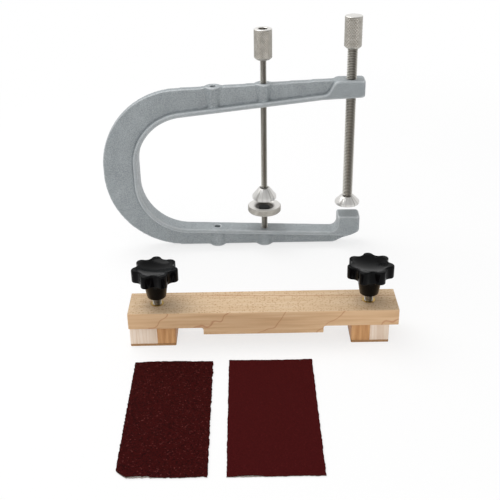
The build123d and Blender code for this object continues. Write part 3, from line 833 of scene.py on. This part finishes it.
sheetSettings = {
    "coarse": {"ragged": 1.1, "crown": 1.0, "wave": 0.6, "corner": 7.0,
               "bare": (-0.9, -0.1, 1.2), "seed": 3.1},
    "fine": {"ragged": 0.6, "crown": -0.4, "wave": 0.4, "corner": 0.0,
             "bare": (-0.9, -0.2, 0.9), "seed": 8.7},
}
layerSettings = {
    "cell": 0.75,             # mm, how fine the mesh is
    "backing": 0.35,          # mm, thickness of the layer
    "grit": 0.45,
    "tuck": 0.3,              # mm, how far the paper's edge lies in under the grit, and its torn corner
    "cornerTuck": 0.4,
    "longWave": 5.0,          # mm, lengths of the torn edge's waves and nicks
    "nick": 1.6,
    "liftX": 28.0,            # mm, lengths of the paper's waves
    "liftY": 34.0,
    "tearX": 16,              # powers that keep the tear to the last few millimetres
    "tearY": 24,
}


def edgeWander(along, side, seed):
    # 0 to about 1: long waves with small nicks on them
    return max(0, 0.45 + 0.5 * noise.noise((along / (layerSettings["longWave"] * mm), side, seed))
               + 0.45 * noise.noise((along / (layerSettings["nick"] * mm), side + 4, seed)))


def buildSheet(grade, gritMaterial):
    s = sheetSettings[grade]
    for layer, material, slot in (("backing", paper, "sheet_backing"),
                                  ("grit", gritMaterial, f"{grade}_grit")):
        name = f"{grade}_sheet_{layer}"
        low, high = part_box(name)
        middle = (low + high) / 2
        halfX, halfY = (high.x - low.x) / 2, (high.y - low.y) / 2
        thickness, cell = layerSettings[layer] * mm, layerSettings["cell"] * mm
        tuck = layerSettings["tuck"] * mm if layer == "backing" else 0
        bareFrom, bareTo, bareDepth = s["bare"]
        bm = bmesh.new()
        bmesh.ops.create_grid(bm, x_segments=round(2 * halfX / cell),
                              y_segments=round(2 * halfY / cell), size=1)
        bmesh.ops.scale(bm, verts=bm.verts, vec=(halfX, halfY, 1))
        if s["corner"]:
            reach = (s["corner"] + (layerSettings["cornerTuck"] if layer == "backing" else 0)) * mm
            bmesh.ops.bisect_plane(bm, geom=wholeMesh(bm), dist=0.1 * near,
                                   plane_co=(-halfX + reach / 2, -halfY + reach / 2, 0), plane_no=(-1, -1, 0),
                                   clear_outer=True)
        for vert in bm.verts:
            x, y = vert.co.x, vert.co.y
            acrossX, acrossY = x / halfX, y / halfY
            insetX = s["ragged"] * mm * edgeWander(y, math.copysign(3, x), s["seed"]) + tuck
            insetY = s["ragged"] * mm * edgeWander(x, math.copysign(5, y), s["seed"] + 2) + tuck
            if y > 0:
                insetY += s["crown"] * mm * (acrossX ** 2 if s["crown"] > 0 else acrossX ** 2 - 1)
            elif layer == "grit" and bareFrom < acrossX < bareTo:
                insetY += bareDepth * mm * math.sin(math.pi * (acrossX - bareFrom) / (bareTo - bareFrom))
            vert.co.x -= math.copysign(abs(acrossX) ** layerSettings["tearX"] * insetX, x)
            vert.co.y -= math.copysign(abs(acrossY) ** layerSettings["tearY"] * insetY, y)
            lift = noise.noise((x / (layerSettings["liftX"] * mm), y / (layerSettings["liftY"] * mm),
                                s["seed"] + 5))
            vert.co.z = s["wave"] * mm * max(0, lift + 0.35)
        bmesh.ops.translate(bm, verts=bm.verts, vec=(middle.x, middle.y, low.z + thickness))
        bmesh.ops.recalc_face_normals(bm, faces=bm.faces)
        if sum(f.normal.z for f in bm.faces) < 0:
            bmesh.ops.reverse_faces(bm, faces=bm.faces)
        bmesh.ops.solidify(bm, geom=bm.faces[:], thickness=thickness)
        finishPiece(f"{grade}Sheet{layer.capitalize()}", bm, material, "root",
                                    [name], 40)


buildCasting()
print("casting done")
for name in screwSettings:
    buildScrew(name)
for name in headSettings:
    buildHead(name)
for name in padSettings:
    buildPad(name)
buildDisc()
buildStud()
print("screws, pads and support done")
for side in ("left", "right"):
    buildKnob(side)
    buildKnobStud(side)
buildWood()
print("caul done")
buildSheet("coarse", coarseGrit)
buildSheet("fine", fineGrit)
print("sheets done")


# studio: white floor, white surroundings, two soft lamps, camera

studio = {
    "floorSize": 6.0,
    "floorColor": "#fcfcfc",
    "floorGlow": (0.72, 1.0),     # the share of plain white in the floor, close by and far away
    "glowReach": (0.2, 0.6),      # how far from the object these two are
    "wallStrength": 0.34,         # the light from the walls and from overhead
    "overheadStrength": 0.8,
    "ceiling": 0.6,               # what a mirror sees overhead, against 1 at the horizon
    "aim": (-0.08, -0.08, 0.03),  # where the lamps point
    "keyPlace": (-0.55, 0.3, 1.15),
    "keySize": 0.9,
    "keyPower": 7.5,
    "fillPlace": (-0.3, -1.1, 0.45),
    "fillSize": 0.8,
    "fillPower": 2.0,
    "cameraPlace": (-0.0798, -0.6575, 0.308),
    "pitch": 27.42,
    "roll": -1.0,
    "focal": 883.0,               # pixels in a frame this wide
    "frameWidth": 500,
    "sensorWidth": 36,            # mm
}


def surroundingRays(tree):
    # 1 for what the eye, a mirror or a glass sees, 0 for what lights the object
    path = addNode(tree, "LightPath").outputs
    either = {"operation": "MAXIMUM"}
    seen = addNode(tree, "Math", either, {0: path["Is Camera Ray"], 1: path["Is Glossy Ray"]})
    return addNode(tree, "Math", either, {0: seen, 1: path["Is Transmission Ray"]}).outputs[0]


def buildFloor():
    bm = bmesh.new()
    bmesh.ops.create_grid(bm, x_segments=1, y_segments=1, size=studio["floorSize"] / 2,
                          matrix=Matrix.Translation((0, 0, cadBox[0].z - 0.1 * mm)))
    floor = newObject("floor", bm)
    # matt white paper sweep, about three quarters plain white close by and all of it far away
    material, tree, shader, place = newMaterial("whitePaperFloor")
    shader.inputs["Base Color"].default_value = linear(studio["floorColor"])
    shader.inputs["Roughness"].default_value = 0.95
    glow = addNode(tree, "Emission", inputs={"Color": (1, 1, 1, 1), "Strength": 1.0})
    away = addNode(tree, "VectorMath", length, {0: place})
    fade = addNode(tree, "MapRange", smoothStep,
                   {"Value": away.outputs["Value"], "From Min": studio["glowReach"][0],
                    "From Max": studio["glowReach"][1], "To Min": studio["floorGlow"][0],
                    "To Max": studio["floorGlow"][1]})
    share = addNode(tree, "Math", multiply, {0: fade, 1: surroundingRays(tree)})
    blend = addNode(tree, "MixShader", inputs={"Fac": share, 1: shader, 2: glow})
    tree.links.new(blend.outputs[0], tree.nodes["Material Output"].inputs["Surface"])
    floor.data.materials.append(material)


def buildLight(kind):
    place = studio[kind + "Place"]
    light = bpy.data.lights.new(kind + "Light", "AREA")
    light.shape = "SQUARE"
    light.size = studio[kind + "Size"]
    light.energy = studio[kind + "Power"]
    lamp = bpy.data.objects.new(kind + "Light", light)
    lamp.location = place
    lamp.rotation_euler = (Vector(studio["aim"]) - Vector(place)).to_track_quat("-Z", "Y").to_euler()
    bpy.context.scene.collection.objects.link(lamp)


def buildWorld():
    # white walls that light softly all round; shiny parts also see the darker ceiling of the studio
    world = bpy.data.worlds.new("studioWorld")
    bpy.context.scene.world = world
    world.use_nodes = True
    tree = world.node_tree
    height = addNode(tree, "SeparateXYZ", inputs={"Vector": addNode(tree, "TexCoord").outputs["Generated"]})
    wall = addNode(tree, "MapRange", smoothStep,
                   {"Value": height.outputs["Z"], "From Min": 0.4, "From Max": 0.8, "To Min": 1.0,
                    "To Max": studio["ceiling"]})
    path = addNode(tree, "LightPath")
    glossy = addNode(tree, "Mix", numberMix, {0: path.outputs["Is Glossy Ray"], 2: 1.0, 3: wall})
    lit = addNode(tree, "MapRange", inputs={"Value": height.outputs["Z"], "To Min": studio["wallStrength"],
                                            "To Max": studio["overheadStrength"]})
    strength = addNode(tree, "Mix", numberMix, {0: surroundingRays(tree), 2: lit, 3: glossy})
    background = tree.nodes["Background"]
    background.inputs["Color"].default_value = (1, 1, 1, 1)
    tree.links.new(strength.outputs[0], background.inputs["Strength"])


def buildCamera():
    camera = bpy.data.objects.new("camera", bpy.data.cameras.new("camera"))
    camera.data.sensor_width = studio["sensorWidth"]
    camera.data.lens = studio["sensorWidth"] * studio["focal"] / studio["frameWidth"]
    camera.data.clip_start = 0.01
    camera.matrix_world = (Matrix.Translation(studio["cameraPlace"])
                           @ Matrix.Rotation(math.radians(90 - studio["pitch"]), 4, "X")
                           @ Matrix.Rotation(math.radians(studio["roll"]), 4, "Z"))
    bpy.context.scene.collection.objects.link(camera)
    bpy.context.scene.camera = camera


buildFloor()
buildLight("key")
buildLight("fill")
buildWorld()
buildCamera()
bpy.context.scene.view_settings.view_transform = "Standard"
print("studio ready")
